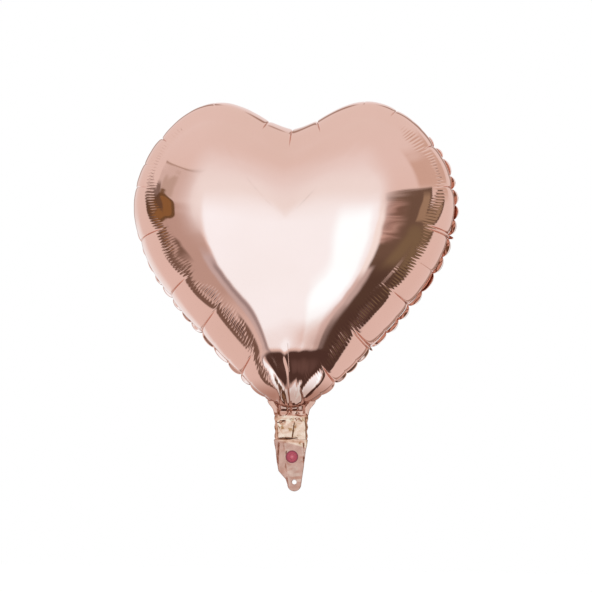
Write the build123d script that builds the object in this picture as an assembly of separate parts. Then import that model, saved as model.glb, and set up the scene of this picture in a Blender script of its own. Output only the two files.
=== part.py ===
"""Heart-shaped foil balloon, inflated, in millimetres.

Frame: the origin is the throat, where the neck leaves the heart and the ribbon is tied.
+Z runs up through the heart, +X to its right seen from the front, and the front faces -Y.
Two metallised films are welded round their edge and bulge apart. Both run on below the throat
as a flat neck and a tail, with a two-film check valve between them.
"""

import os
from math import atan2, degrees, exp, hypot, sqrt

from build123d import *

# Films. Real foil is about 0.03 mm thick and a valve film 0.05 mm: these are stand-ins.
FOIL = 0.5
VALVE = 0.4
STACK = FOIL + VALVE  # half the thickness of the neck and tail

# Heart: the weld line's right half, from the cleft to the tip, as (x, z)
CLEFT_Z = 306.0
TIP_Z = 5.0
WELD_LINE = [
    (0.0, CLEFT_Z),
    (38.0, 320.0),
    (80.0, 334.5),
    (137.0, 308.0),
    (174.5, 229.0),
    (156.0, 160.0),
    (110.0, 98.0),
    (58.0, 43.0),
    (25.0, 14.5),
    (0.0, TIP_Z),
]
FLANGE = 5.0  # width of the welded edge outside that line
CROWN_Z = 200.0  # height of the deepest point of the bulge
BULGE = 87.5  # depth of each panel, less the film
TIP_TAPER = 0.66  # how much shallower the bulge gets towards the tip
TIP_FOCUS = 5.0  # how narrowly that taper keeps to the tip
CLEFT_TAPER = 0.30  # and towards the cleft
CLEFT_FOCUS = 12.0
TAPER_POWER = 1.7
SOFTNESS = 18.0  # degrees over which the heart's corners fade away towards the crown
SOFT_RANGE = 60  # degrees of directions that are averaged, either way
ROUND_SHARE = 0.5  # share of the way out up to which the cross-sections are fully softened

# Cross-sections of a panel, as shares of the way from the crown to the weld line
RING_SHARES = [1.0, 0.985, 0.94, 0.86, 0.74, 0.6, 0.44, 0.28, 0.12]
RING_POINTS = 24

# Neck and tail
NECK_WIDTH = 37.0
THROAT_TOP_Z = 14.0
CREASE_Z = -30.0  # fold between the neck and the tail
FOLD_GAP = 1.2  # clearance on each side of a fold line
TAIL_END_Z = -86.0
TAB_X = 4.5  # the tail's tab hangs a little to the right
TAB_RADIUS = 7.5
TAIL_RIGHT = [(16.5, -42.0), (14.5, -60.0)]
TAIL_LEFT = [(-6.0, -71.0), (-13.0, -64.0), (-16.5, -42.0)]
TIE_HOLE_Z = -76.0
TIE_HOLE_RADIUS = 2.5

# Valve: two flat films, open to the gas at the top
VALVE_WIDTH = 24.0
VALVE_TOP_Z = 96.0
VALVE_END_Z = -62.0
VALVE_PLAY = 0.1  # room at the sides and end of the films
LIP_Z = 8.0  # fold line of the lip that gas pressure shuts
PORT_X = 1.5
PORT_Z = -48.5
PORT_RADIUS = 3.5
MARK_RADIUS = 7.0
MARK_THICKNESS = 0.15


def plate(outline, low, high):
    """A flat solid of that outline in XZ, between two values of Y."""
    return extrude(outline, amount=high - low, dir=(0, 1, 0)).moved(Pos(0, low, 0))


def polygon(points):
    """A face in the XZ plane through (x, z) points."""
    return make_face(Polyline(*[(x, 0, z) for x, z in points], close=True))


def rectangle(half_width, low_z, high_z):
    """A face in the XZ plane, centred on X."""
    return polygon([(-half_width, low_z), (half_width, low_z), (half_width, high_z), (-half_width, high_z)])


def block(half_width, low_z, high_z, low_y, high_y):
    """A box centred on X."""
    return plate(rectangle(half_width, low_z, high_z), low_y, high_y)


def disc(x, z, radius):
    """A round face in the XZ plane."""
    return Plane(origin=(x, 0, z), z_dir=(0, 1, 0)) * Circle(radius)


def weld_spline():
    """The weld line's right half, from the cleft to the tip."""
    return Edge.make_spline([(x, 0, z) for x, z in WELD_LINE], tangents=[(1, 0, 0), (-1, 0, 0)])


def soft_reaches():
    """Distance from the crown to the weld line in each whole degree from straight up.

    Each is averaged over the directions nearby.
    """
    weld_line = weld_spline()
    samples = 2000
    reaches = {}
    for i in range(samples + 1):
        point = weld_line.position_at(i / samples)
        turn = round(degrees(atan2(point.X, point.Z - CROWN_Z)))
        reaches[turn] = hypot(point.X, point.Z - CROWN_Z)
    spread = range(-SOFT_RANGE, SOFT_RANGE + 1)
    weights = [exp(-((away / SOFTNESS) ** 2) / 2) for away in spread]
    averages = []
    for turn in range(181):
        nearby = [reaches[abs((turn + away + 180) % 360 - 180)] for away in spread]
        averages.append(sum(w * r for w, r in zip(weights, nearby)) / sum(weights))
    return averages


SOFT_REACHES = soft_reaches()


def softened(share, x, z):
    """A share of the way out to the weld line at (x, z), evened out between directions near the crown."""
    turn = degrees(atan2(abs(x), z - CROWN_Z))
    below = min(int(turn), 179)
    soft_reach = SOFT_REACHES[below] + (turn - below) * (SOFT_REACHES[below + 1] - SOFT_REACHES[below])
    t = max(0.0, (share - ROUND_SHARE) / (1 - ROUND_SHARE))
    outer = t * t * (3 - 2 * t)
    return share * (outer + (1 - outer) * hypot(x, z - CROWN_Z) / soft_reach)


def bulge_share(share, x, z):
    """Depth of the bulge at a share of the way out, as a share of its depth at the crown."""
    down = (CROWN_Z - z) / hypot(x, CROWN_Z - z)
    share = softened(share, x, z)
    tip_taper = TIP_TAPER * ((1 + down) / 2) ** TIP_FOCUS
    cleft_taper = CLEFT_TAPER * ((1 - down) / 2) ** CLEFT_FOCUS
    return sqrt(1 - share**3) * (1 - (tip_taper + cleft_taper) * share**TAPER_POWER)


def beside_weld(inset):
    """Points (x, z) along the right half of the weld line, that far inside it."""
    weld_line = weld_spline()
    points = []
    for i in range(RING_POINTS + 1):
        on_line = weld_line.position_at(i / RING_POINTS)
        along = weld_line.tangent_at(i / RING_POINTS)
        points.append((on_line.X + inset * along.Z, on_line.Z - inset * along.X))
    return points


def ring(share, inset, rim_y):
    """One cross-section of a panel's bulge, where inset is how far it is inside the weld line.

    rim_y is where the bulge starts, and all of it is that much deeper.
    """
    right = []
    for x, z in beside_weld(inset):
        depth = 1.0 if share == RING_SHARES[-1] else bulge_share(share, x, z)
        right.append((share * x, rim_y - BULGE * depth, CROWN_Z + share * (z - CROWN_Z)))
    left = [(-x, y, z) for x, y, z in reversed(right[1:-1])]
    return Wire([Edge.make_spline([*right, *left], periodic=True)])


def bulge_faces(inset, rim_y):
    """One face of the film over the bulge, without the flat face that would close it."""
    closed = Solid.make_loft([ring(share, inset, rim_y) for share in RING_SHARES])
    return [face for face in closed.faces() if face.bounding_box().min.Y < rim_y - FOIL]


def flat_outline():
    """The outer edge of the welded edge, down to the throat that joins it to the neck."""
    side = NECK_WIDTH / 2
    right = [(x, 0, z) for x, z in beside_weld(-FLANGE) if z > THROAT_TOP_Z] + [(side, 0, FLANGE)]
    left = [(-x, y, z) for x, y, z in reversed(right[1:])]
    heart = Edge.make_spline([*left, *right], tangents=[(-1, 0, 1), (-1, 0, -1)])
    throat = Polyline((side, 0, FLANGE), (side, 0, FOLD_GAP), (-side, 0, FOLD_GAP), (-side, 0, FLANGE))
    return Wire([heart, *throat.edges()])


def front_panel():
    """The front film: bulge, welded edge and a slot where the valve passes the throat."""
    outline = flat_outline()
    in_front = Pos(0, -FOIL, 0)
    back_face = Face(outline, [ring(1.0, FOIL, 0)])
    front_face = Face(outline.moved(in_front), [ring(1.0, 0, -FOIL)])
    edge_faces = [Face.extrude(edge, (0, -FOIL, 0)) for edge in outline.edges()]
    faces = [*bulge_faces(0, -FOIL), *bulge_faces(FOIL, 0), back_face, front_face, *edge_faces]
    slot = block(VALVE_WIDTH / 2 + VALVE_PLAY, 0, THROAT_TOP_Z, -VALVE, FOIL)
    return Solid(Shell(faces)) - slot


def neck_film():
    """Front foil of the neck: welded to the back one at both sides, open over the valve."""
    film = block(NECK_WIDTH / 2, CREASE_Z + FOLD_GAP, -FOLD_GAP, -STACK, 0)
    channel = block(VALVE_WIDTH / 2 + VALVE_PLAY, CREASE_Z, 0, -VALVE, 0)
    return film - channel


def tail_outline():
    """The tail: straight at first, then narrowing to a round tab."""
    top = CREASE_Z - FOLD_GAP
    shoulder = TAIL_END_Z + TAB_RADIUS
    right, left = TAB_X + TAB_RADIUS, TAB_X - TAB_RADIUS
    start, end = (NECK_WIDTH / 2, top), (-NECK_WIDTH / 2, top)
    down = Polyline(*[(x, 0, z) for x, z in [start, *TAIL_RIGHT, (right, shoulder)]])
    round_end = ThreePointArc((right, 0, shoulder), (TAB_X, 0, TAIL_END_Z), (left, 0, shoulder))
    up = Polyline(*[(x, 0, z) for x, z in [(left, shoulder), *TAIL_LEFT, end]])
    across = Line((end[0], 0, top), (start[0], 0, top))
    return make_face([down, round_end, up, across])


def tail_film():
    """One foil of the tail, with the tie hole through its tab and a pocket for the valve's end."""
    film = plate(tail_outline(), -STACK, 0) - plate(disc(TAB_X, TIE_HOLE_Z, TIE_HOLE_RADIUS), -STACK, 0)
    pocket = block(VALVE_WIDTH / 2 + VALVE_PLAY, VALVE_END_Z - VALVE_PLAY, CREASE_Z, -VALVE, 0)
    return film - pocket


def valve_film(low_z, high_z):
    """A stretch of the front valve film."""
    return block(VALVE_WIDTH / 2, low_z, high_z, -VALVE, 0)


def port_hole():
    """The round hole that the filling nozzle goes into, as a cutting solid."""
    return plate(disc(PORT_X, PORT_Z, PORT_RADIUS), -STACK, 0)


def fill_marker():
    """The printed ring that shows where the filling hole is."""
    ring_face = disc(PORT_X, PORT_Z, MARK_RADIUS) - disc(PORT_X, PORT_Z, PORT_RADIUS)
    return plate(ring_face, -STACK - MARK_THICKNESS, -STACK)


def build():
    """Every node by name. A back part is the mirror image of its front one, less the filling hole."""
    neck_low, neck_high = CREASE_Z + FOLD_GAP, -FOLD_GAP
    tail_high = CREASE_Z - FOLD_GAP
    front = front_panel()
    neck_valve = valve_film(neck_low, neck_high)
    tail_valve = valve_film(VALVE_END_Z, tail_high)
    mirror_back = Plane.XZ
    return {
        "front_panel": front,
        "back_panel": front.mirror(mirror_back),
        "neck_front_film": neck_film(),
        "neck_back_film": neck_film().mirror(mirror_back),
        "tail_front_film": tail_film() - port_hole(),
        "tail_back_film": tail_film().mirror(mirror_back),
        "valve_front_root": valve_film(FOLD_GAP, LIP_Z - FOLD_GAP),
        "valve_front_lip": valve_film(LIP_Z + FOLD_GAP, VALVE_TOP_Z),
        "valve_back_inner": valve_film(FOLD_GAP, VALVE_TOP_Z).mirror(mirror_back),
        "valve_front_neck": neck_valve,
        "valve_back_neck": neck_valve.mirror(mirror_back),
        "valve_front_tail": tail_valve - port_hole(),
        "valve_back_tail": tail_valve.mirror(mirror_back),
        "fill_marker": fill_marker(),
    }


os.makedirs("parts", exist_ok=True)
for name, shape in build().items():
    export_step(shape, f"parts/{name}.step")
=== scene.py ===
"""Looks of an inflated heart-shaped foil balloon, built round its CAD frame. Metres throughout.

The origin is the throat, +Z runs up to the cleft, +X is the heart's right and the front faces -Y.
"""

import math

import bpy
import numpy as np
from mathutils import Matrix, Vector, geometry


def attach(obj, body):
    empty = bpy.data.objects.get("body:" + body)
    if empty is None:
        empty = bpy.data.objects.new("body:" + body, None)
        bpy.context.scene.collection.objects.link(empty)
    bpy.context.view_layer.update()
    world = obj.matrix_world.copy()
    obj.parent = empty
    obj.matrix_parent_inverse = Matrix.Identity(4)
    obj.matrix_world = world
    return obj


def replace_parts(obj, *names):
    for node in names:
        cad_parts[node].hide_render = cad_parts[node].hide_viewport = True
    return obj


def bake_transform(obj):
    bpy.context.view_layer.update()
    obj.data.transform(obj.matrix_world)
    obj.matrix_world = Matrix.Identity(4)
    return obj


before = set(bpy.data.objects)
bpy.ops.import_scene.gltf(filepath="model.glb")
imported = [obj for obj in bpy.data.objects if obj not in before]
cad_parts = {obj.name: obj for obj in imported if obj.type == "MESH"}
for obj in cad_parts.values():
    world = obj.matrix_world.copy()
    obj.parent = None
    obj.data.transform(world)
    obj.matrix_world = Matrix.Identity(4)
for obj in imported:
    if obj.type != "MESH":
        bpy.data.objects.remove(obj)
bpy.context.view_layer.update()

MM = 0.001

# Heart: the weld line's right half from the cleft to the tip, as (x, z), and the bulge inside it
CROWN_Z = 200 * MM
WELD_LINE = np.array([
    (0, 306), (38, 320), (80, 334.5), (137, 308), (174.5, 229),
    (156, 160), (110, 98), (58, 43), (25, 14.5), (0, 5),
]) * MM
BULGE = 87 * MM
TIP_TAPER, TIP_FOCUS = 0.66, 5.0  # how much flatter the bulge is towards the tip, and how narrowly so
CLEFT_TAPER, CLEFT_FOCUS = 0.30, 12.0
TAPER_POWER = 1.7
SOFTNESS = 18  # degrees over which the heart's corners fade away towards the crown
SEAM_GAP = 0.12 * MM  # each film's distance from the plane between the two at the weld
FILM_OFFSET = 0.45 * MM  # distance of the neck's and tail's foils from the middle of their stack
VALVE_OFFSET = 0.15 * MM  # the same for the valve's films
THROAT_SWELL = 2.6 * MM  # how far the heart's films stand out at the weld line above the throat

# Grid of a panel: columns cross the weld line and crowd at the pleats, rows run round the heart
COLUMNS = 2176
FINE_ROWS = np.array([0, 1.0, 2.2, 3.5, 5, 6.6, 8.4, 10.4] + [10.4 + 2.7 * k for k in range(1, 26)]) * MM
MIDDLE_ROWS = np.array([77.9 + 4 * k for k in range(1, 10)]) * MM
INNER_SHARES = [0.12, 0.25, 0.38, 0.5]  # shares of the rest of the way to the crown
CORE_SHARES = [0.62, 0.74]
HEART_SHARES = [0.86, 0.94]
LAST_SHARE = 0.995
EDGE_STEPS = 4  # rows across the welded edge, besides its rim
CROWDING, CROWD_WIDTH = 3.5, 1.4 * MM
WELD_SAMPLES, PATH_SAMPLES = 6000, 260

# Pleats cross the weld: (distance along it from the cleft or from the tip in mm, strength)
CLEFT_PLEAT = 0.9
RIGHT_PLEATS = [(30, 0.8), (84, 0.2), (119, 0.6), (174, 0.9), (224, 0.9), (275, 1.0), (279, 0.8),
                (320, 0.35), (364, 1.0), (425, 1.0), (428, 0.7), (480, 1.0)]
LEFT_PLEATS = [(29, 0.9), (92, 0.2), (162, 0.9), (196, 0.3), (224, 0.4), (284, 1.0), (354, 1.0),
               (405, 0.9), (468, 1.0)]
TIP_PLEATS = [(-17, 0.5), (13, 0.5)]
STRONG_PLEAT = 0.25  # the least strength of a pleat that parts two pillows
PILLOW = 1.5 * MM  # how far the film stands out between two pleats, over its height in a pleat
OVERHANG = 4.0 * MM  # how far the band inside the weld swells out over it
GROOVE = 1.9 * MM
GROOVE_WIDTH = 0.5 * MM
SCALLOP = 18 * MM  # spacing of the waves in the welded edge
SCALLOP_DENT = 0.4 * MM  # how far the film dips beside the weld where two waves meet
COMB = 3.9 * MM  # spacing of the fine wrinkles along the band's inner edge
COMB_HEIGHT = 0.58 * MM

# Welded edge: its width, how much wider it is low on the right and narrower at the top, and how it leans
EDGE_WIDTH, EDGE_WIDER, EDGE_NARROWER = 4.0 * MM, 2.6 * MM, 1.5 * MM
LEAN_BACK, LEAN_FORWARD, EDGE_SWAY = 1.6 * MM, 4.0 * MM, 1.5 * MM

# Tip: soft folds that fan out of the throat, as (direction, half width, share of the height) in degrees
TIP_FOLDS = [(-28, 5.0, 1.2), (-1, 3.2, 0.8), (13, 2.6, 0.25), (23, 2.6, 0.3)]
TIP_FOLD_HEIGHT = 1.0 * MM
VALLEY_DEPTH = 0.33  # share of its height that the film loses between the two bands above the throat
# Round folds where the films gather at the throat: (middle, half width, reach below the weld, height) in mm
GATHERS = [(-9.0, 6.2, 5.0, 2.3), (3.4, 4.2, 3.0, 1.9), (11.6, 5.0, 3.4, 1.6)]

# Neck and tail
NECK_HALF = 18.5 * MM
NECK_TOP = 3.2 * MM
NECK_FLARE = [(27 * MM, 12.5 * MM), (25.3 * MM, 9 * MM), (22.3 * MM, 5.5 * MM)]
LEFT_SHARE = 0.985  # how wide the neck's left side is beside its right
CREASE_Z = -30 * MM
TAIL_END_Z = -86 * MM
TAB_RADIUS = 7.5 * MM
PORT = (1.5 * MM, -48.5 * MM)
PORT_RADIUS = 3.5 * MM
MARK_RADIUS = 7 * MM
TIE_HOLE = (4.5 * MM, -76 * MM)
TIE_HOLE_RADIUS = 2.5 * MM
VALVE_HALF = 12 * MM
VALVE_END_Z = -62 * MM
THROAT_CLEAR, CREASE_CLEAR = 5 * MM, 2.5 * MM  # how far the valve's strips end from the two folds
FILM_THICKNESS = 0.1 * MM
MESH_GAP = 0.8 * MM  # spacing of the points in the neck's and tail's films

# Camera: degrees round the balloon, up and of roll, its distance, the height it frames and its target
CAMERA_TURN, CAMERA_RISE, CAMERA_ROLL = 6, -6, 0.8
CAMERA_AWAY, FRAME_HEIGHT = 2.2, 0.650
CAMERA_TARGET = (0.0035, 0, 0.1275)
FLOOR_Z, FLOOR_HALF = -0.45, 9.0


# ---------------------------------------------------------------- small tools


def smooth(low, high, value):
    """0 on low's side, 1 on high's side and a smooth step between. low may be the larger."""
    t = np.clip((value - low) / (high - low), 0, 1)
    return t * t * (3 - 2 * t)


def window(low, high, edge, value):
    """1 between low and high, 0 more than an edge outside them."""
    return smooth(low - edge, low, value) * (1 - smooth(high, high + edge, value))


def loop_distance(at, place, perimeter):
    """Distance round a closed loop from places on it to one place."""
    apart = np.abs(at - place)
    return np.minimum(apart, perimeter - apart)


def ripple(seed, period, place):
    """Smooth noise from -1 to 1 along a line, with about one bump a period."""
    rng = np.random.default_rng(seed)
    values = rng.uniform(-1, 1, 512)
    t = place / period
    cell = np.floor(t).astype(int)
    f = t - cell
    f = f * f * (3 - 2 * f)
    return values[cell % 512] * (1 - f) + values[(cell + 1) % 512] * f


def facets(seed, cell, turn, x, z):
    """Crumpled height from -1 to 1: flat triangles with sharp folds between them."""
    rng = np.random.default_rng(seed)
    table = rng.uniform(-1, 1, (64, 64))
    c, s = math.cos(turn), math.sin(turn)
    u, v = (c * x + s * z) / cell, (c * z - s * x) / cell
    i, j = np.floor(u).astype(int), np.floor(v).astype(int)
    fu, fv = u - i, v - j
    i, j = i % 63, j % 63
    h00, h10, h01, h11 = table[i, j], table[i + 1, j], table[i, j + 1], table[i + 1, j + 1]
    lower = h00 + (h10 - h00) * fu + (h01 - h00) * fv
    upper = h11 + (h01 - h11) * (1 - fu) + (h10 - h11) * (1 - fv)
    return np.where(fu + fv < 1, lower, upper)


def new_object(name, vertices, faces, material):
    """A smooth mesh object."""
    mesh = bpy.data.meshes.new(name)
    mesh.from_pydata([tuple(v) for v in vertices], [], faces)
    mesh.validate()
    mesh.polygons.foreach_set("use_smooth", [True] * len(mesh.polygons))
    mesh.materials.append(material)
    obj = bpy.data.objects.new(name, mesh)
    bpy.context.scene.collection.objects.link(obj)
    return obj


# ---------------------------------------------------------------- the heart's curve and bulge


def spline_through(points, samples):
    """Points on the smooth curve through the given ones, level at both ends."""
    knots = np.concatenate([[0], np.cumsum(np.hypot(*np.diff(points, axis=0).T))])
    count = len(points)
    matrix, right = np.zeros((count, count)), np.zeros((count, 2))
    matrix[0, 0] = matrix[-1, -1] = 1
    right[0], right[-1] = (1, 0), (-1, 0)
    for i in range(1, count - 1):
        before, after = knots[i] - knots[i - 1], knots[i + 1] - knots[i]
        matrix[i, i - 1:i + 2] = after, 2 * (before + after), before
        slope_before = (points[i] - points[i - 1]) / before
        slope_after = (points[i + 1] - points[i]) / after
        right[i] = 3 * (after * slope_before + before * slope_after)
    slopes = np.linalg.solve(matrix, right)
    at = np.linspace(0, knots[-1], samples)
    k = np.clip(np.searchsorted(knots, at, side="right") - 1, 0, count - 2)
    h = (knots[k + 1] - knots[k])[:, None]
    t = (at - knots[k])[:, None] / h
    return ((2 * t**3 - 3 * t**2 + 1) * points[k] + (t**3 - 2 * t**2 + t) * h * slopes[k]
            + (3 * t**2 - 2 * t**3) * points[k + 1] + (t**3 - t**2) * h * slopes[k + 1])


def pleat_places(perimeter):
    """Where the pleats cross the weld, clockwise from the cleft, and how strong each is."""
    places = [(0.0, CLEFT_PLEAT)]
    places += [(s * MM, w) for s, w in RIGHT_PLEATS]
    places += [(perimeter / 2 + s * MM, w) for s, w in TIP_PLEATS]
    places += [(perimeter - s * MM, w) for s, w in reversed(LEFT_PLEATS)]
    return np.array(places)


def weld_loop():
    """Evenly spaced points round the weld line, clockwise from the cleft, with their inward normals."""
    half = spline_through(WELD_LINE, WELD_SAMPLES)
    mirrored = half[::-1] * (-1, 1)
    loop = np.vstack([half, mirrored[1:]])
    length = np.concatenate([[0], np.cumsum(np.hypot(*np.diff(loop, axis=0).T))])
    crowd = np.ones_like(length)
    for place, strength in pleat_places(length[-1]):
        apart = loop_distance(length, place, length[-1])
        crowd += CROWDING * min(1, strength + 0.3) * np.exp(-(apart / CROWD_WIDTH) ** 2)
    filled = np.concatenate([[0], np.cumsum((crowd[1:] + crowd[:-1]) / 2 * np.diff(length))])
    at = np.interp(np.arange(COLUMNS) / COLUMNS * filled[-1], filled, length)
    points = np.stack([np.interp(at, length, loop[:, k]) for k in (0, 1)], axis=1)
    along = np.roll(points, -3, axis=0) - np.roll(points, 3, axis=0)
    along /= np.hypot(*along.T)[:, None]
    inward = np.stack([along[:, 1], -along[:, 0]], axis=1)
    return points, inward, at, length[-1]


WELD, INWARD, PLACE, PERIMETER = weld_loop()
_angles = np.arctan2(WELD[:, 0], WELD[:, 1] - CROWN_Z)
_order = np.argsort(_angles)
ANGLES, REACHES = _angles[_order], np.hypot(WELD[:, 0], WELD[:, 1] - CROWN_Z)[_order]
EVEN_ANGLES = np.radians(np.arange(-180, 180))


def softened_reaches():
    """The reach of the weld from the crown, averaged over the directions nearby."""
    even = np.interp(EVEN_ANGLES, ANGLES, REACHES, period=2 * math.pi)
    spread = np.arange(-60, 61)
    weights = np.exp(-(spread / SOFTNESS) ** 2 / 2)
    return sum(w * np.roll(even, k) for k, w in zip(spread, weights)) / weights.sum()


SOFT_REACHES = softened_reaches()


def bulge_depth(x, z):
    """Distance of a panel's film from the plane of the weld."""
    away = np.hypot(x, z - CROWN_Z) + 1e-9
    angle = np.arctan2(x, z - CROWN_Z)
    share = np.clip(away / np.interp(angle, ANGLES, REACHES, period=2 * math.pi), 0, 1)
    soft_share = away / np.interp(angle, EVEN_ANGLES, SOFT_REACHES, period=2 * math.pi)
    outer = smooth(0.5, 1, share)
    share = share * outer + soft_share * (1 - outer)
    down = (CROWN_Z - z) / away
    taper = TIP_TAPER * ((1 + down) / 2) ** TIP_FOCUS + CLEFT_TAPER * ((1 - down) / 2) ** CLEFT_FOCUS
    return BULGE * np.sqrt(1 - share**3) * (1 - taper * share**TAPER_POWER)


def tip_folds(x, z, seed):
    """Soft folds that fan out of the throat into the tip."""
    away = np.hypot(x, z)
    fan = np.degrees(np.arctan2(x, z)) + 1.5 * ripple(seed, 20 * MM, away)
    height = TIP_FOLD_HEIGHT * smooth(6 * MM, 26 * MM, away) * (1 - smooth(50 * MM, 76 * MM, away))
    total = 0
    for middle, half, share in TIP_FOLDS:
        total = total + share * np.exp(-((fan - middle) / half) ** 2)
    return height * total


def tip_valley(x, z):
    """Share of its height that the film keeps between the two bands where they meet at the throat."""
    fan = np.degrees(np.arctan2(x, z))
    half = 17 + 12 * smooth(-8, 8, fan)
    inner = 1 - smooth(half, half + 19, np.abs(fan))
    return 1 - VALLEY_DEPTH * (1 - smooth(8 * MM, 66 * MM, z)) * inner * (z < 90 * MM)


def column_paths():
    """Plan path of each column, from the weld to the crown: it starts square to the weld."""
    crown = np.array([0, CROWN_Z])
    straight = crown - WELD
    lead = 0.36 * np.hypot(*straight.T)
    towards_axis = -np.sign(WELD[:, 0]) * INWARD[:, 0]
    to_axis = np.abs(WELD[:, 0]) / np.maximum(towards_axis, 1e-6)
    lead = np.where(towards_axis > 0.02, np.minimum(lead, 0.75 * to_axis), lead)
    control = WELD + INWARD * lead[:, None]
    u = (np.linspace(0, 1, PATH_SAMPLES) ** 2)[None, :, None]
    start, control = WELD[:, None, :], control[:, None, :]
    return (1 - u) ** 2 * start + 2 * u * (1 - u) * control + u**2 * crown


PLEATS = pleat_places(PERIMETER)


def between(places, at):
    """For each place round the loop: the index of the mark before it and the share of the way on from it."""
    closed = np.concatenate([places, [places[0] + PERIMETER]])
    k = np.clip(np.searchsorted(closed, at, side="right") - 1, 0, len(places) - 1)
    return k, (at - closed[k]) / (closed[k + 1] - closed[k])


def scallop_places():
    """Where the welded edge's waves meet: each gap between two pleats takes a few."""
    rng = np.random.default_rng(11)
    strong = PLEATS[PLEATS[:, 1] > STRONG_PLEAT, 0]
    ends = np.concatenate([strong, [strong[0] + PERIMETER]])
    places = []
    for low, high in zip(ends[:-1], ends[1:]):
        waves = max(1, round((high - low) / SCALLOP))
        for k in range(waves):
            shift = rng.uniform(-0.16, 0.16) if k else 0
            places.append(low + (k + shift) * (high - low) / waves)
    return np.array(places)


SCALLOPS = scallop_places()


def groove_at(at, places, strengths, width):
    """Sharp grooves at the given places along the weld, from 0 to each one's strength."""
    total = np.zeros_like(at)
    for place, strength in zip(places, strengths):
        total = np.maximum(total, strength * np.exp(-loop_distance(at, place, PERIMETER) / width))
    return total


def pillows(at):
    """Height of the film between the pleats, from 0 in a pleat to 1 between two."""
    strong = PLEATS[PLEATS[:, 1] > STRONG_PLEAT]
    k, share = between(strong[:, 0], at)
    ends = np.append(strong[:, 1], strong[0, 1])
    depth = ends[k] * (1 - share) + ends[k + 1] * share
    return 1 - np.clip(depth, 0, 1.2) * (1 - (4 * share * (1 - share)) ** 0.55)


def band_width(at):
    """Distance from the weld to the inner edge of the band of pillows."""
    from_tip = np.abs(at - PERIMETER / 2) / MM
    side = np.where(at > PERIMETER / 2, 1, -1) * smooth(15, 90, from_tip) * (1 - smooth(300, 400, from_tip))
    width = 19 + 38 * smooth(0, 150, from_tip) - 19 * smooth(240, 340, from_tip)
    width = width + 16 * smooth(420, 520, from_tip)
    return (width + 6.5 * side) * MM


def seam_shift(at):
    """How far the weld stands outside its line, the same for both films."""
    _, wave = between(SCALLOPS, at)
    scallop = (np.sin(math.pi * wave)) ** 0.7
    groove = groove_at(at, PLEATS[:, 0], PLEATS[:, 1], 2.2 * MM)
    quiet = smooth(22 * MM, 40 * MM, np.abs(at - PERIMETER / 2))
    return quiet * (1.2 * MM * (pillows(at) - 0.85) + 0.35 * MM * (scallop - 0.6) - 0.8 * MM * groove)


def band_shape(at, inward, share, from_tip):
    """The band inside the weld: it swells out over the weld, in pillows between the pleats."""
    swell = np.sin(np.clip(share / 0.5, 0, 1) * math.pi / 2) * smooth(18 * MM, 60 * MM, from_tip)
    swell *= 0.25 + 0.75 * smooth(70 * MM, 170 * MM, from_tip) + 1.0 * smooth(330 * MM, 450 * MM, from_tip)
    puffed = smooth(0, 9 * MM, inward) * PILLOW * (pillows(at) - 0.8)
    _, wave = between(SCALLOPS, at)
    beside_weld = smooth(0, 2 * MM, inward) * (1 - smooth(3 * MM, 13 * MM, inward))
    dent = beside_weld * SCALLOP_DENT * (1 - np.sin(math.pi * wave) ** 0.45)
    return (1 - smooth(0.66, 1.3, share)) * (swell * OVERHANG + puffed) - dent


def pleat_grooves(at, inward, share, width, seed):
    """Depth of the pleats, which run from the weld across the band."""
    total = np.zeros_like(inward)
    grown = smooth(0, 9 * MM, inward)
    for k, (place, strength) in enumerate(PLEATS):
        reach = width * (1.0 + 0.1 * math.sin(7.3 * k + seed)) + 2 * MM
        depth = GROOVE * strength * (1 - smooth(0.78, 1.06, inward / reach)) * grown
        spread = GROOVE_WIDTH * (1.3 - 0.4 * share.clip(0, 1))
        total += depth * np.exp(-loop_distance(at, place, PERIMETER) / spread)
    return total


def comb_wrinkles(at, inward, width, from_tip, seed):
    """The row of fine wrinkles along the band's inner edge, weaker towards the tip."""
    slip = 1.6 * MM * ripple(seed + 3, 26 * MM, at) + 0.5 * MM * ripple(seed + 4, 7 * MM, at)
    comb = np.abs(np.sin(math.pi * (at + slip) / COMB)) ** 0.8 - 0.6
    past_start = inward - width - 2 * MM * ripple(seed + 5, 19 * MM, at)
    length = 12 * MM + 5 * MM * ripple(seed + 6, 9 * MM, at)
    height = COMB_HEIGHT * (0.8 + 0.5 * ripple(seed + 7, 11 * MM, at))
    height = height * (0.16 + 0.84 * smooth(30 * MM, 100 * MM, from_tip))
    height = height * smooth(-3 * MM, 2.5 * MM, past_start) * (1 - smooth(0.3, 1.2, past_start / length))
    return height * comb


def soft_waves(at, inward, from_tip, seed):
    """Long shallow waves inside the band."""
    waves = 0.16 * MM * ripple(seed + 8, 15 * MM, at + 0.1 * inward)
    waves = waves + 0.35 * MM * ripple(seed + 9, 55 * MM, at)
    return waves * window(45 * MM, 80 * MM, 45 * MM, inward) * smooth(90 * MM, 200 * MM, from_tip)


def film_shift(at, inward, seed):
    """How far a film stands out from the smooth bulge, at a place along the weld and a distance inwards."""
    width = band_width(at)
    share = inward / width
    from_tip = np.abs(at - PERIMETER / 2)
    shift = band_shape(at, inward, share, from_tip) - pleat_grooves(at, inward, share, width, seed)
    return shift + comb_wrinkles(at, inward, width, from_tip, seed) + soft_waves(at, inward, from_tip, seed)


# ---------------------------------------------------------------- panels


def gathers(x, z):
    """How much further out the films stand at the throat, in round folds that end in the neck."""
    x = np.asarray(x)
    fanned = x / (1 + np.maximum(z, 0) / (22 * MM))
    low = np.minimum(z - 0.5 * MM, 0)
    total = np.zeros_like(fanned)
    for middle, half, below, height in GATHERS:
        out = ((fanned - middle * MM) / (half * MM)) ** 2 + (low / (below * MM)) ** 2
        total = np.maximum(total, height * MM * np.sqrt(np.clip(1 - out, 0, 1)))
    return total * pinch(x)


def pinch(x):
    """1 over the middle of the throat and 0 at its two sides, where the films are welded together."""
    return 1 - smooth(11 * MM, 17.5 * MM, np.abs(x))


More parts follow.
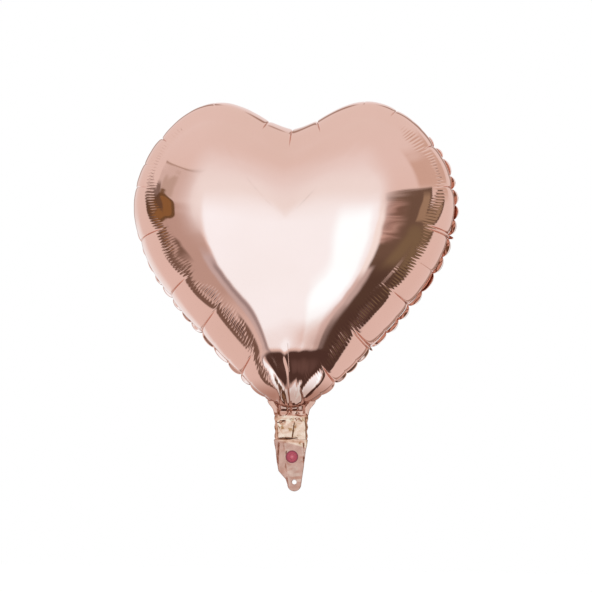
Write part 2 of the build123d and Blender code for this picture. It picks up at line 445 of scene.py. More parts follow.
def throat_share():
    """1 in the columns that end at the open throat, 0 in those that end at the weld."""
    return (1 - smooth(14 * MM, 24 * MM, np.abs(WELD[:, 0]))) * (WELD[:, 1] < 60 * MM)


def flange_rows(shift):
    """The welded edge outside the weld line as rows of (x, y, z), the outermost row last."""
    k, wave = between(SCALLOPS, PLACE)
    rng = np.random.default_rng(23)
    sway = rng.uniform(0.5, 1.4, len(SCALLOPS)) * rng.choice([1, 1, 1, -1], len(SCALLOPS))
    hump = np.sin(math.pi * wave)
    x, z = WELD.T
    right = smooth(110 * MM, 150 * MM, x + 0.45 * z) * (z < 300 * MM)
    tip = (1 - smooth(18 * MM, 60 * MM, np.abs(x))) * (z < 90 * MM)
    top = smooth(270 * MM, 310 * MM, z)
    width = EDGE_WIDTH + EDGE_WIDER * right - EDGE_NARROWER * top
    width = width * (0.3 + 0.7 * hump**0.5) * (1 - 0.55 * tip)
    throat = throat_share()
    out = WELD - INWARD * shift[:, None]
    at_neck = np.stack([np.clip(x * 0.82, -NECK_HALF, NECK_HALF), np.full(COLUMNS, 1.0 * MM)], axis=1)
    lean = LEAN_BACK * (1 - right) - LEAN_FORWARD * right
    rows = []
    for step in range(1, EDGE_STEPS + 1):
        share = step / EDGE_STEPS
        plan = out - INWARD * (width * share)[:, None]
        plan = plan * (1 - throat)[:, None] + (out * (1 - share) + at_neck * share) * throat[:, None]
        back = share * (lean + EDGE_SWAY * (sway[k] - 0.4) * hump) * (1 - throat)
        rows.append((plan[:, 0], back, plan[:, 1]))
    return rows


def panel_rows(side, seed):
    """Every row of one panel, from the welded edge's rim to the crown, as arrays of (x, y, z).

    side is -1 in front and 1 behind.
    """
    paths = column_paths()
    px, pz = paths[..., 0], paths[..., 1]
    depth = bulge_depth(px, pz) * tip_valley(px, pz) + tip_folds(px, pz, seed)
    depth[:, 0] = 0
    steps = np.sqrt(np.diff(px, axis=1) ** 2 + np.diff(pz, axis=1) ** 2 + np.diff(depth, axis=1) ** 2)
    travelled = np.concatenate([np.zeros((COLUMNS, 1)), np.cumsum(steps, axis=1)], axis=1)
    total = travelled[:, -1]

    fixed = np.concatenate([FINE_ROWS, MIDDLE_ROWS])
    shares = INNER_SHARES + CORE_SHARES + HEART_SHARES + [LAST_SHARE]
    targets = np.concatenate([
        np.repeat(fixed[None, :], COLUMNS, axis=0),
        fixed[-1] + (total[:, None] - fixed[-1]) * np.array(shares)[None, :],
    ], axis=1)
    grid = np.zeros((targets.shape[1], COLUMNS, 3))
    for i in range(COLUMNS):
        grid[:, i, 0] = np.interp(targets[i], travelled[i], px[i])
        grid[:, i, 1] = np.interp(targets[i], travelled[i], depth[i])
        grid[:, i, 2] = np.interp(targets[i], travelled[i], pz[i])

    round_way = np.roll(grid, -1, axis=1) - np.roll(grid, 1, axis=1)
    in_way = np.gradient(grid, axis=0)
    normal = np.cross(in_way, round_way)
    normal /= np.linalg.norm(normal, axis=2)[..., None] + 1e-12
    normal *= np.where(normal[..., 1] < 0, -1, 1)[..., None]
    normal[0, :, 0], normal[0, :, 1], normal[0, :, 2] = -INWARD[:, 0], 0, -INWARD[:, 1]

    shift = seam_shift(PLACE)
    distance = targets.T
    whole = film_shift(np.repeat(PLACE[None, :], len(distance), axis=0), distance, seed)
    whole += shift[None, :] * (1 - smooth(4 * MM, 30 * MM, distance))
    grid += normal * whole[..., None]
    middle, throat = pinch(grid[..., 0]), throat_share()
    open_gap = (FILM_OFFSET * middle + gathers(grid[..., 0], grid[..., 2])) * throat[None, :]
    open_gap *= 1 - smooth(5 * MM, 45 * MM, distance)
    open_gap += THROAT_SWELL * middle * throat[None, :] * (1 - smooth(2 * MM, 24 * MM, distance))
    grid[..., 1] = side * (np.maximum(grid[..., 1], 0) + SEAM_GAP + open_gap)

    edge = []
    for step, (x, y, z) in enumerate(reversed(flange_rows(shift))):
        swell = (FILM_OFFSET + THROAT_SWELL * math.sin(step / EDGE_STEPS * math.pi / 2)) * pinch(x)
        gap = SEAM_GAP + (swell + gathers(x, z)) * throat
        edge.append(np.stack([x, y + side * gap, z], axis=1))
    rim = edge[0].copy()
    rim[:, 1] -= side * SEAM_GAP
    return [rim] + edge + list(grid)


def join_rows(rows, halvings, side):
    """Vertices and faces of stacked closed rows, closed at the crown.

    A row whose number is in halvings keeps every other point of the one before.
    """
    vertices, starts, counts, step = [], [], [], 1
    for k, row in enumerate(rows):
        if k in halvings:
            step *= 2
        kept = row[::step]
        starts.append(sum(len(v) for v in vertices))
        counts.append(len(kept))
        vertices.append(kept)
    faces = []
    for k in range(len(rows) - 1):
        a, b, n, m = starts[k], starts[k + 1], counts[k], counts[k + 1]
        for i in range(m):
            j = (i + 1) % m
            if n == m:
                faces.append((a + i, b + i, b + j, a + j))
            else:
                p, q, r = a + 2 * i, a + 2 * i + 1, a + (2 * i + 2) % n
                faces += [(p, b + i, q), (q, b + i, b + j), (q, b + j, r)]
    last, n = starts[-1], counts[-1]
    points = np.vstack(vertices)
    crown = points[last:].mean(axis=0)
    points = np.vstack([points, crown])
    faces += [(last + i, len(points) - 1, last + (i + 1) % n) for i in range(n)]
    if side > 0:
        faces = [face[::-1] for face in faces]
    return points, faces


def make_panel(name, side, seed, material):
    """One foil panel with its pleats and its half of the welded edge."""
    halvings, row = set(), EDGE_STEPS + 1
    for rows in (FINE_ROWS, MIDDLE_ROWS, INNER_SHARES, CORE_SHARES, HEART_SHARES):
        row += len(rows)
        halvings.add(row)
    points, faces = join_rows(panel_rows(side, seed), halvings, side)
    return new_object(name, points, faces, material)


# ---------------------------------------------------------------- neck and tail


def inside(point, loop):
    """Whether a plan point lies inside a closed loop."""
    x, z = point
    hit = False
    for (x0, z0), (x1, z1) in zip(loop, loop[1:] + loop[:1]):
        if (z0 > z) != (z1 > z) and x < x0 + (z - z0) * (x1 - x0) / (z1 - z0):
            hit = not hit
    return hit


def circle(centre, radius, points):
    """A closed plan loop."""
    turns = [2 * math.pi * k / points for k in range(points)]
    return [(centre[0] + radius * math.cos(t), centre[1] + radius * math.sin(t)) for t in turns]


def resample(loop, gap):
    """A closed plan loop with points about a gap apart."""
    out = []
    for a, b in zip(loop, loop[1:] + loop[:1]):
        n = max(1, round(math.dist(a, b) / gap))
        out += [(a[0] + (b[0] - a[0]) * k / n, a[1] + (b[1] - a[1]) * k / n) for k in range(n)]
    return out


def flat_mesh(outline, holes):
    """Plan points and triangles that fill an outline with holes."""
    gap = MESH_GAP
    loops = [resample(outline, gap)] + holes
    points, edges = [], []
    for loop in loops:
        first = len(points)
        points += loop
        edges += [(first + k, first + (k + 1) % len(loop)) for k in range(len(loop))]
    xs, zs = [p[0] for p in outline], [p[1] for p in outline]
    row_gap = gap * math.sqrt(0.75)
    for j in range(int((max(zs) - min(zs)) / row_gap) + 1):
        z = min(zs) + (j + 0.5) * row_gap
        for i in range(int((max(xs) - min(xs)) / gap) + 2):
            x = min(xs) + (i + 0.5 * (j % 2)) * gap
            clear = min(math.dist((x, z), p) for p in points[:len(edges)]) > 0.55 * gap
            if clear and inside((x, z), outline) and not any(inside((x, z), h) for h in holes):
                points.append((x, z))
    made = geometry.delaunay_2d_cdt([Vector(p) for p in points], edges, [], 0, 1e-7)
    points = [tuple(v) for v in made[0]]
    faces = []
    for face in made[2]:
        middle = tuple(sum(points[k][axis] for k in face) / len(face) for axis in (0, 1))
        if inside(middle, loops[0]) and not any(inside(middle, h) for h in holes):
            faces.append(tuple(face))
    return np.array(points), faces


def neck_outline():
    """The neck, from behind the heart's welded edge to the crease, with slightly wavy sides.

    Its top edge dips in the middle, clear of the valve.
    """
    side, points = list(NECK_FLARE), 24
    for k in range(points + 1):
        z = NECK_TOP + k / points * (CREASE_Z - NECK_TOP - 0.2 * MM)
        wave = 0.5 * MM * (1 - math.cos(k * 0.9)) * (k > 4)
        side.append((NECK_HALF + 2.0 * MM * math.exp((z - NECK_TOP) / (5 * MM)) - wave, z))
    flare_top = NECK_FLARE[0][1]
    dip = [(-20 * MM, flare_top), (-14 * MM, NECK_TOP), (14 * MM, NECK_TOP), (20 * MM, flare_top)]
    return side + [(-x * LEFT_SHARE, z) for x, z in reversed(side)] + dip


def tail_outline():
    """The tail, a tongue that narrows to a tab round the tie hole."""
    shoulder, top = TAIL_END_Z + TAB_RADIUS, CREASE_Z + 0.2 * MM
    right = [(NECK_HALF, top), (18 * MM, -35 * MM), (16.5 * MM, -42 * MM), (15.3 * MM, -52 * MM),
             (14.5 * MM, -60 * MM), (13.3 * MM, -68 * MM)]
    turns = [math.pi * k / 16 for k in range(17)]
    tab = [(TIE_HOLE[0] + TAB_RADIUS * math.cos(t), shoulder - TAB_RADIUS * math.sin(t)) for t in turns]
    left = [(-5 * MM, -73 * MM), (-9 * MM, -68.5 * MM), (-13 * MM, -64 * MM), (-15.2 * MM, -54 * MM),
            (-16.5 * MM, -42 * MM), (-18 * MM, -35 * MM), (-NECK_HALF, top)]
    return right + tab + left


def valve_strip(high, low):
    """The part of a valve film between two heights."""
    return [(VALVE_HALF, high), (VALVE_HALF, low), (-VALVE_HALF, low), (-VALVE_HALF, high)]


def neck_height(x, z):
    """How far the neck's crumpled stack stands in front of its flat plane: crumples, a ledge across
    its top left, a notch in it, a fold down the middle, curled sides and the hem above the crease.
    """
    calm = smooth(0.5 * MM, -5 * MM, z) * smooth(CREASE_Z + 0.2 * MM, CREASE_Z + 2.5 * MM, z)
    high = smooth(-12 * MM, -8 * MM, z) * smooth(-4 * MM, 4 * MM, x)
    rough = (1.3 * MM + 1.3 * MM * high) * facets(31, 8.5 * MM, 0.5, x, z + 40 * MM)
    rough += (0.4 * MM + 1.1 * MM * high) * facets(32, 4.1 * MM, 1.1, x + 90 * MM, z)
    ledge = 1.5 * MM * smooth(-10.5 * MM, -7.5 * MM, z - 0.3 * (x + 6 * MM))
    ledge = ledge * (1 - smooth(-1 * MM, 4 * MM, x))
    notch = -1.8 * MM * np.clip(1 - np.hypot(x + 9 * MM, (z + 11 * MM) * 1.2) / (4 * MM), 0, 1)
    fold = 1.3 * MM * (1 - smooth(2.2 * MM, 4.0 * MM, x - 0.12 * z - 2 * MM)) * smooth(-5 * MM, -11 * MM, z)
    curl = -2.2 * MM * smooth(14.6 * MM, NECK_HALF, np.abs(x + 0.04 * z))
    hem = -1.5 * MM * np.exp(-np.abs(z - CREASE_Z - 0.6 * MM - 0.08 * x) / (1.2 * MM))
    hem = hem * (1 - smooth(5 * MM, 10 * MM, x))
    return calm * (rough + ledge + notch + fold) + smooth(0.5 * MM, -3 * MM, z) * (curl + hem)


def tail_height(x, z):
    """How far the tail's stack stands in front of its flat plane: a flap folded down under the crease,
    crumples and a ridge away from the filling mark, and curled sides.
    """
    calm = smooth(CREASE_Z - 0.3 * MM, CREASE_Z - 4 * MM, z)
    fold = (z - CREASE_Z) + 0.5 * (x + 15 * MM) + 1 * MM
    flap = 1.6 * MM * np.clip(fold / (12 * MM), -0.25, 0.9)
    rough = 1.0 * MM * facets(41, 10 * MM, 0.3, x, z) + 0.35 * MM * facets(42, 4.5 * MM, 0.9, x, z)
    ridge = 0.9 * MM * np.exp(-np.abs(x + 11 * MM + 0.12 * z) / (2.0 * MM))
    curl = -1.2 * MM * smooth(11.5 * MM, 15 * MM, np.abs(x - 0.5 * MM) + 0.06 * (z - CREASE_Z))
    flat_mark = smooth(5 * MM, 10 * MM, np.hypot(x - PORT[0], z - PORT[1]))
    return calm * (flap + flat_mark * (rough + ridge) + curl)


def openness(x, z):
    """Share of its offset that a film of the stack keeps: all of it in the middle, little at the welds."""
    return 0.25 + 0.75 * np.sqrt(np.clip(1 - (x / NECK_HALF) ** 2, 0, 1)) * (1 - smooth(2 * MM, 5 * MM, z))


def stack_film(name, outline, holes, height, offset, material):
    """One film of the neck or the tail, which follows the stack's height.

    offset is how far the film is in front of the stack's middle.
    """
    plan, faces = flat_mesh(outline, holes)
    x, z = plan[:, 0], plan[:, 1]
    y = -(height(x, z) + offset * (openness(x, z) + gathers(x, z) / FILM_OFFSET * (z > -8 * MM)))
    turned = faces if offset > 0 else [face[::-1] for face in faces]
    obj = new_object(name, np.stack([x, y, z], axis=1), turned, material)
    thick = obj.modifiers.new("film", "SOLIDIFY")
    thick.thickness = FILM_THICKNESS
    thick.offset = 0
    settle(obj)
    return obj


def settle(obj):
    """Applies an object's modifiers to its mesh."""
    graph = bpy.context.evaluated_depsgraph_get()
    mesh = bpy.data.meshes.new_from_object(obj.evaluated_get(graph))
    obj.modifiers.clear()
    obj.data = mesh


def make_mark(material):
    """The printed ring round the filling hole, lying on the tail's front film."""
    rings, turns = 12, 72
    vertices, faces = [], []
    for k in range(rings + 1):
        radius = PORT_RADIUS - 0.05 * MM + (MARK_RADIUS - PORT_RADIUS) * k / rings
        for i in range(turns):
            t = 2 * math.pi * i / turns
            x, z = PORT[0] + radius * math.cos(t), PORT[1] + radius * math.sin(t)
            lift = 0.1 * MM if 0 < k < rings else 0.04 * MM
            y = -(float(tail_height(np.array(x), np.array(z))) + FILM_OFFSET * float(openness(x, z)) + lift)
            vertices.append((x, y, z))
    for k in range(rings):
        for i in range(turns):
            j = (i + 1) % turns
            a, b = k * turns, (k + 1) * turns
            faces.append((a + i, a + j, b + j, b + i))
    return new_object("filling_mark", vertices, faces, material)


# ---------------------------------------------------------------- nodes


def set_inputs(tree, node, inputs):
    """Gives a node's inputs their values, each a number, a colour or a link from another node."""
    for key, value in inputs.items():
        if isinstance(value, bpy.types.NodeSocket):
            tree.links.new(value, node.inputs[key])
        else:
            node.inputs[key].default_value = value


def add_node(tree, kind, inputs, **settings):
    """A new shader node."""
    node = tree.nodes.new("ShaderNode" + kind)
    for name, value in settings.items():
        setattr(node, name, value)
    set_inputs(tree, node, inputs)
    return node


def math_node(tree, operation, *values):
    """A math node over links or numbers."""
    return add_node(tree, "Math", dict(enumerate(values)), operation=operation).outputs["Value"]


def plus_share(tree, value, other, share):
    """A value plus a share of another one."""
    return math_node(tree, "ADD", value, math_node(tree, "MULTIPLY", other, share))


def band(tree, value, low, high, edge):
    """1 where a value is between low and high, with soft edges."""
    masks = []
    for middle, before, after in ((low, 0, 1), (high, 1, 0)):
        spread = add_node(tree, "MapRange", {
            "Value": value, "From Min": middle - edge / 2, "From Max": middle + edge / 2,
            "To Min": before, "To Max": after,
        }, interpolation_type="SMOOTHSTEP")
        masks.append(spread.outputs["Result"])
    return math_node(tree, "MULTIPLY", *masks)


def lay_over(tree, under, colour, mask):
    """A colour over another where the mask is 1."""
    under, colour = ((*c, 1) if isinstance(c, tuple) else c for c in (under, colour))
    mix = add_node(tree, "Mix", {"Factor": mask, 6: under, 7: colour}, data_type="RGBA", clamp_result=False)
    return mix.outputs[2]


def add_place(tree, space="Object"):
    """A point's place in the object's own space, or a reflection's direction in the world's."""
    return add_node(tree, "TexCoord", {}).outputs[space]


def add_noise(tree, place, scale, detail):
    """A noise texture."""
    return add_node(tree, "TexNoise", {"Vector": place, "Scale": scale, "Detail": detail}).outputs["Fac"]


def add_ramp(tree, factor, stops):
    """A colour ramp over a factor, with stops of (place, colour)."""
    ramp = add_node(tree, "ValToRGB", {"Fac": factor})
    elements = ramp.color_ramp.elements
    for element, (place, colour) in zip(elements, (stops[0], stops[-1])):
        element.position, element.color = place, (*colour, 1)
    for place, colour in stops[1:-1]:
        elements.new(place).color = (*colour, 1)
    return ramp.outputs["Color"]


def add_range(tree, factor, low, high):
    """A factor from 0 to 1 spread over low to high."""
    return add_node(tree, "MapRange", {"Value": factor, "To Min": low, "To Max": high}).outputs["Result"]


def add_bump(tree, height, strength, distance, under=None):
    """A bump, over another one's normal if that is given."""
    inputs = {"Height": height, "Strength": strength, "Distance": distance}
    if under:
        inputs["Normal"] = under
    return add_node(tree, "Bump", inputs).outputs["Normal"]


# ---------------------------------------------------------------- materials


def node_material(name):
    """A new material with its node tree and its main shader."""
    material = bpy.data.materials.new(name)
    material.use_nodes = True
    tree = material.node_tree
    return material, tree, tree.nodes["Principled BSDF"]


def foil_material(name, stops, rough_low, rough_high, bump, scale=9.0, other=None):
    """Rose gold metallised film, whose colour drifts through the stops.

    other holds a second set of stops, the range of z + lean * x where it takes over, the width of that
    range's soft edge, and lean.
    """
    material, tree, shader = node_material(name)
    place = add_place(tree)
    cloud = add_noise(tree, place, scale, 4.0)
    colour = add_ramp(tree, cloud, stops)
    if other:
        other_stops, low, high, edge, lean = other
        split = add_node(tree, "SeparateXYZ", {"Vector": place}).outputs
        mask = band(tree, plus_share(tree, split["Z"], split["X"], lean), low, high, edge)
        colour = lay_over(tree, colour, add_ramp(tree, cloud, other_stops), mask)
    wobble = add_bump(tree, add_noise(tree, place, 60.0, 2.0), bump, 0.4 * MM)
    set_inputs(tree, shader, {
        "Base Color": colour,
        "Roughness": add_range(tree, add_noise(tree, place, 45.0, 6.0), rough_low, rough_high),
        "Normal": add_bump(tree, add_noise(tree, place, 900.0, 2.0), 0.03, 0.05 * MM, wobble),
        "Metallic": 1.0,
    })
    return material


def away_from_port(tree, place, low, high):
    """Distance from the filling hole's axis, spread over 0 to 1."""
    flat = add_node(tree, "VectorMath", {0: place, 1: (1, 0, 1)}, operation="MULTIPLY")
    ends = {0: flat.outputs["Vector"], 1: (PORT[0], 0, PORT[1])}
    away = add_node(tree, "VectorMath", ends, operation="DISTANCE")
    limits = {"Value": away.outputs["Value"], "From Min": low, "From Max": high}
    return add_node(tree, "MapRange", limits).outputs["Result"]


def valve_material():
    """Cloudy polyethylene film, with a red print behind the filling hole and a painted highlight at the
    print's middle.
    """
    material, tree, shader = node_material("valve_film")
    place = add_place(tree)
    cloud = add_noise(tree, place, 120.0, 4.0)
    film = add_ramp(tree, cloud, [(0.3, (0.74, 0.60, 0.56)), (0.7, (0.86, 0.76, 0.72))])
    away = away_from_port(tree, place, 0, 6 * MM)
    # The red print, with a painted highlight: pale pink at its middle.
    print_and_glint = add_ramp(tree, away, [
        (0.0, (0.80, 0.30, 0.33)), (0.2, (0.62, 0.10, 0.14)), (0.6, (0.46, 0.04, 0.07)),
        (1.0, (0.46, 0.04, 0.07)),
    ])
    set_inputs(tree, shader, {
        "Base Color": lay_over(tree, film, print_and_glint, math_node(tree, "LESS_THAN", away, 0.99)),
        "Roughness": add_range(tree, cloud, 0.3, 0.5),
        "Normal": add_bump(tree, cloud, 0.2, 0.1 * MM),
        "Transmission Weight": 0.15,
    })
    return material


def ink_material():
    """Red printed ink, darker towards the ring's outer edge."""
    material, tree, shader = node_material("mark_ink")
    place = add_place(tree)
    ring = add_ramp(tree, away_from_port(tree, place, PORT_RADIUS, MARK_RADIUS), [
        (0.0, (0.48, 0.05, 0.08)), (0.35, (0.40, 0.028, 0.055)), (0.7, (0.28, 0.01, 0.03)),
        (1.0, (0.12, 0.004, 0.014)),
    ])
    speck = add_noise(tree, place, 700.0, 3.0)
    grey = add_ramp(tree, speck, [(0.3, (0.75, 0.75, 0.75)), (0.7, (1, 1, 1))])
    mix = add_node(tree, "Mix", {"Factor": 0.5, 6: ring, 7: grey}, data_type="RGBA", blend_type="MULTIPLY")
    set_inputs(tree, shader, {
        "Base Color": mix.outputs[2],
        "Roughness": add_range(tree, speck, 0.25, 0.4),
        "Normal": add_bump(tree, speck, 0.15, 0.05 * MM),
    })
    return material


# ---------------------------------------------------------------- studio


def make_room():
    """The white room round the balloon, which its film mirrors, with lights and darker things in it.

    A direction is given by turn, in degrees from the front towards the right, and rise above the
    horizon. Things with slanting sides are bounded in left_wall and right_wall instead of turn.
    """
    world = bpy.data.worlds.new("studio")
    bpy.context.scene.world = world
    world.use_nodes = True
    tree = world.node_tree
    direction = add_place(tree, "Generated")
    x, y, z = add_node(tree, "SeparateXYZ", {"Vector": direction}).outputs
    to_degrees = 180 / math.pi
    front = math_node(tree, "MULTIPLY", y, -1.0)
    turn = math_node(tree, "MULTIPLY", math_node(tree, "ARCTAN2", x, front), to_degrees)
    rise = math_node(tree, "MULTIPLY", math_node(tree, "ARCSINE", z), to_degrees)
    drift = math_node(tree, "SUBTRACT", add_noise(tree, direction, 3.0, 4), 0.5)
    turn_soft, rise_soft = plus_share(tree, turn, drift, 12.0), plus_share(tree, rise, drift, 14.0)
    left_wall, right_wall = plus_share(tree, turn, rise, 0.5), plus_share(tree, turn, rise, -0.45)

    def paint(colour, *limits, strength=1.0):
        """Lays a soft-edged patch over the room, inside limits of (value, low, high, edge)."""
        nonlocal room
        mask = strength
        for value, low, high, edge in limits:
            mask = math_node(tree, "MULTIPLY", band(tree, value, low, high, edge), mask)
        room = lay_over(tree, room, colour, mask)

    room = add_ramp(tree, math_node(tree, "MULTIPLY", math_node(tree, "ADD", rise, 90.0), 1 / 180), [
        (0.0, (0.93, 0.86, 0.86)), (0.36, (0.99, 0.92, 0.93)), (0.55, (0.99, 0.95, 0.96)),
        (0.75, (1.01, 1.0, 1.03)), (1.0, (1.0, 1.0, 1.02)),
    ])
    # Behind: a bright screen between two brown curtains, and a window to its left
    for curtain in ((turn, 148, 164, 10), (turn, -164, -148, 10)):
        paint((0.48, 0.36, 0.31), curtain, (rise, -70, 62, 14))
    paint((1.10, 1.22, 1.30), (turn, -160, -124, 16), (rise, -30, 3, 12))
    # Left: a tan wall with a grey shelf over it, dark boards and a gold mirror
    left = (left_wall, -76, 99, 2), (turn, -99, -37, 3)
    paint((0.86, 0.82, 0.83), *left, (rise, -10, 31, 3))
    paint((0.67, 0.56, 0.53), *left, (rise, -47, 8, 8))
    paint((0.55, 0.47, 0.42), *left, (plus_share(tree, rise, turn, 0.06), 26.5, 28, 1.5))
    paint((0.62, 0.55, 0.50), (turn_soft, -80, -62, 5), (rise_soft, 16, 27, 3), strength=0.7)
    paint((0.26, 0.19, 0.155), (left_wall, -79, -70, 3), (rise, -24, 4, 10))
    paint((0.24, 0.17, 0.14), (left_wall, -86, -76, 3), (rise, -56, -20, 8))
    squares = []
    for value, middle, radius in ((left_wall, -66.0, 12.0), (rise, 10.0, 10.5)):
        away = math_node(tree, "MULTIPLY", math_node(tree, "SUBTRACT", value, middle), 1 / radius)
        squares.append(math_node(tree, "POWER", away, 2.0))
    oval = math_node(tree, "SQRT", math_node(tree, "ADD", *squares))
    paint((0.20, 0.125, 0.06), (oval, -1, 1, 0.12))
    paint((0.33, 0.19, 0.075), (oval, -1, 0.72, 0.1))
    paint((0.15, 0.10, 0.07), (left_wall, -78, -70, 3), (rise, -2, 24, 4), strength=0.8)
    paint((0.74, 0.73, 0.79), (turn, -45, -35, 4), (rise, -52, -20, 12))
    paint((0.44, 0.42, 0.46), (turn, -40, -36, 4), (rise, -56, -28, 14))
    # Right: a dark wall with an olive panel, and lighter streaks near the soft box
    paint((0.80, 0.68, 0.62), (turn, 68, 112, 8), (rise, 18, 46, 14))
    right = (turn, 33, 120, 4), (right_wall, -20, 83, 3)
    eaves = plus_share(tree, rise, turn, -0.08)
    paint((0.20, 0.15, 0.115), *right, (eaves, -70, 12, 3))
    paint((0.12, 0.082, 0.064), *right, (rise, -70, -34, 22))
    paint((0.44, 0.36, 0.26), (right_wall, 67, 79, 3), (rise, -3, 15, 3))
    paint((0.27, 0.225, 0.14), (right_wall, 64, 82, 12), (rise, -34, -8, 12), strength=0.85)
    stretched = add_node(tree, "CombineXYZ", {
        "X": math_node(tree, "MULTIPLY", turn, 0.025), "Y": math_node(tree, "MULTIPLY", rise, 0.42),
    }).outputs["Vector"]
    streaks = add_ramp(tree, add_noise(tree, stretched, 1.0, 2.0), [
        (0.34, (0.30, 0.20, 0.17)), (0.5, (0.55, 0.40, 0.37)), (0.64, (0.86, 0.68, 0.64)),
    ])
    paint(streaks, (turn, 28, 46, 26), (rise, -14, 12, 8), strength=0.95)
    paint((0.92, 0.77, 0.74), (turn_soft, 24, 36, 9), (rise, -16, 12, 4), strength=0.6)
    paint((0.85, 0.84, 0.88), (turn, 24, 40, 6), (rise, -54, -35, 5), strength=0.8)
    # Below: a dark stand
    paint((0.10, 0.062, 0.054), (turn, -44, 60, 6), (rise, -92, -55, 5))
    paint((0.18, 0.12, 0.11), (turn, -70, 75, 8), (rise, -92, -66, 6))
    # In front: the large soft box and its glow
    paint((1.12, 1.27, 1.40), (turn, -46, 32, 26), (rise, 0, 44, 44))
    paint((1.16, 1.36, 1.50), (turn, -42, 31, 14), (rise, 0, 28, 22))
    paint((1.24, 1.48, 1.62), (turn, 24, 34, 4), (rise, -40, 8, 12))
    above = band(tree, rise, -90, 12, 16)
    paint((1.30, 1.72, 2.02), (turn, -35, 28, 3), (rise, -51, 40, 4), strength=above)
    paint((1.40, 2.1, 2.5), (turn, 6, 24, 5), (rise, -50, 7, 12))

    background = tree.nodes["Background"]
    set_inputs(tree, background, {"Color": room})
    plain = add_node(tree, "Background", {"Color": (1, 1, 1, 1)})
    mix = add_node(tree, "MixShader", {
        "Fac": add_node(tree, "LightPath", {}).outputs["Is Glossy Ray"],
        1: plain.outputs["Background"], 2: background.outputs["Background"],
    })
    set_inputs(tree, tree.nodes["World Output"], {"Surface": mix.outputs["Shader"]})


def make_floor():
    """A plain pale floor, well below the balloon."""
    corners = [(x * FLOOR_HALF, y * FLOOR_HALF, FLOOR_Z) for x, y in ((-1, -1), (1, -1), (1, 1), (-1, 1))]
    mesh = bpy.data.meshes.new("floor")
    mesh.from_pydata(corners, [], [(0, 1, 2, 3)])
    material, tree, shader = node_material("floor")
    cloud = add_noise(tree, add_place(tree), 1.5, 2.0)
    set_inputs(tree, shader, {
        "Base Color": add_ramp(tree, cloud, [(0.3, (0.93, 0.93, 0.93)), (0.7, (0.95, 0.95, 0.95))]),
        "Roughness": 0.9,
        "Specular IOR Level": 0.0,
        "Emission Color": (1, 1, 1, 1),
        "Emission Strength": 0.1,
    })
    mesh.materials.append(material)
    floor = bpy.data.objects.new("floor", mesh)
    bpy.context.scene.collection.objects.link(floor)
    floor.visible_glossy = False


def make_camera():
    """The camera: almost square on, a little to the right and below."""
    data = bpy.data.cameras.new("camera")
    camera = bpy.data.objects.new("camera", data)
    bpy.context.scene.collection.objects.link(camera)
    bpy.context.scene.camera = camera
    turn, rise = math.radians(CAMERA_TURN), math.radians(CAMERA_RISE)
    back = Vector((math.sin(turn) * math.cos(rise), -math.cos(turn) * math.cos(rise), math.sin(rise)))
    place = Matrix.Translation(Vector(CAMERA_TARGET) + back * CAMERA_AWAY)
    aim = back.to_track_quat("Z", "Y").to_matrix().to_4x4()
    camera.matrix_world = place @ aim @ Matrix.Rotation(math.radians(CAMERA_ROLL), 4, "Z")
    data.sensor_width = 36
    data.lens = data.sensor_width * CAMERA_AWAY / FRAME_HEIGHT
    data.clip_end = 50


# ---------------------------------------------------------------- the balloon


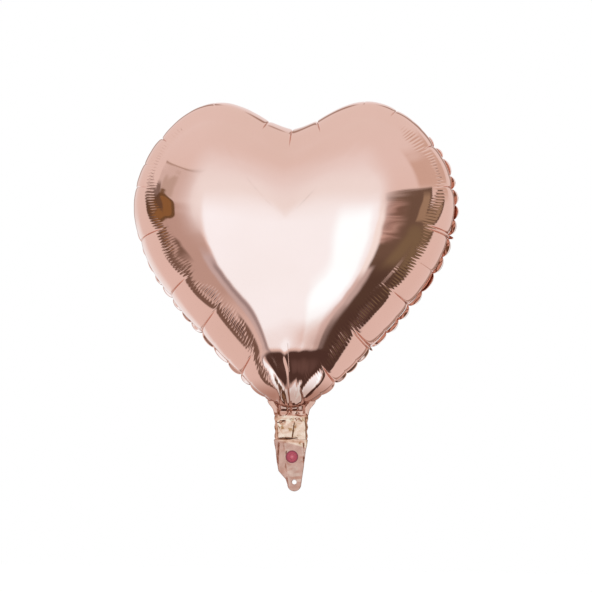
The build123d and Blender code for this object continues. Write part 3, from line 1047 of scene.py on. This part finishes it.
def make_foils():
    """The foils' materials: the heart's front and back, the neck's and tail's fronts, and their backs, with
    painted shade round the throat and over the neck's and tail's fronts.
    """
    rose = (0.3, (0.720, 0.472, 0.390)), (0.7, (0.748, 0.498, 0.420))
    # Painted shade: darker stops across the top of the neck, under the throat.
    neck_top_shade = (0.3, (0.50, 0.24, 0.17)), (0.7, (0.56, 0.28, 0.20))
    # Painted shade: the neck's and tail's front films are darker copies of the rose film. The next stops,
    # for the neck and for the flap at the tail's top, add random dark brown patches of crevice shade. The
    # tail's own stops are darker still.
    shaded_cream = (0.34, (0.36, 0.16, 0.07)), (0.43, (0.60, 0.35, 0.24)), (0.7, (0.70, 0.43, 0.31))
    shaded = (0.3, (0.40, 0.185, 0.13)), (0.7, (0.50, 0.25, 0.18))
    # Painted shade: darker stops laid over the heart's films round the throat, where its folds gather.
    throat_shade = (0.3, (0.40, 0.20, 0.145)), (0.7, (0.48, 0.25, 0.185))
    at_throat = throat_shade, -1.0, 27 * MM, 22 * MM, 0.0
    neck_top = neck_top_shade, -4 * MM, 1.0, 2 * MM, 0.0
    tail_top = shaded_cream, -34.2 * MM, 1.0, 2 * MM, 0.27
    return (foil_material("rose_foil_front", rose, 0.035, 0.075, 0.02, other=at_throat),
            foil_material("rose_foil_back", rose, 0.035, 0.075, 0.02, other=at_throat),
            foil_material("rose_foil_neck", shaded_cream, 0.10, 0.20, 0.12, 130.0, neck_top),
            foil_material("rose_foil_tail", shaded, 0.16, 0.28, 0.12, 130.0, tail_top),
            foil_material("rose_foil_loose", rose, 0.10, 0.20, 0.12))


def make_balloon():
    """Every visible piece, in place of its CAD nodes; the heart's panels, the valve's films and the filling
    mark hang on their bodies.
    """
    front_foil, back_foil, neck_foil, tail_foil, loose_foil = make_foils()
    film = valve_material()

    front = make_panel("front_foil", -1, 1, front_foil)
    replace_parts(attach(front, "envelope"), "front_panel")
    back = make_panel("back_foil", 1, 5, back_foil)
    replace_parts(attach(back, "envelope"), "back_panel")

    port = circle(PORT, PORT_RADIUS, 48)
    tie_hole = circle(TIE_HOLE, TIE_HOLE_RADIUS, 36)
    neck, tail = neck_outline(), tail_outline()
    in_neck = valve_strip(-THROAT_CLEAR, CREASE_Z + CREASE_CLEAR)
    in_tail = valve_strip(CREASE_Z - CREASE_CLEAR, VALVE_END_Z)
    for name, side, slot in (("front", 1, "foil"), ("back", -1, "foil_back")):
        neck_film, tail_film = (neck_foil, tail_foil) if side > 0 else (loose_foil, loose_foil)
        ports = [port] if side > 0 else []
        offset = side * FILM_OFFSET
        foil = stack_film(f"neck_{name}_foil", neck, [], neck_height, offset, neck_film)
        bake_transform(foil)
        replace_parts(foil, f"neck_{name}_film")
        holes = [tie_hole] + ports
        foil = stack_film(f"tail_{name}_foil", tail, holes, tail_height, offset, tail_film)
        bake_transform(foil)
        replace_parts(foil, f"tail_{name}_film")
        offset = side * VALVE_OFFSET
        layer = stack_film(f"valve_{name}_in_neck", in_neck, [], neck_height, offset, film)
        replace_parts(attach(layer, "neck"), f"valve_{name}_neck")
        layer = stack_film(f"valve_{name}_in_tail", in_tail, ports, tail_height, offset, film)
        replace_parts(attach(layer, "tail"), f"valve_{name}_tail")
    mark = make_mark(ink_material())
    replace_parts(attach(mark, "tail"), "fill_marker")

    for name in ("valve_front_root", "valve_front_lip", "valve_back_inner"):
        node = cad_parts[name]
        node.data.materials.clear()
        node.data.materials.append(film)


make_balloon()
make_room()
make_floor()
make_camera()
bpy.context.scene.view_settings.view_transform = "Standard"
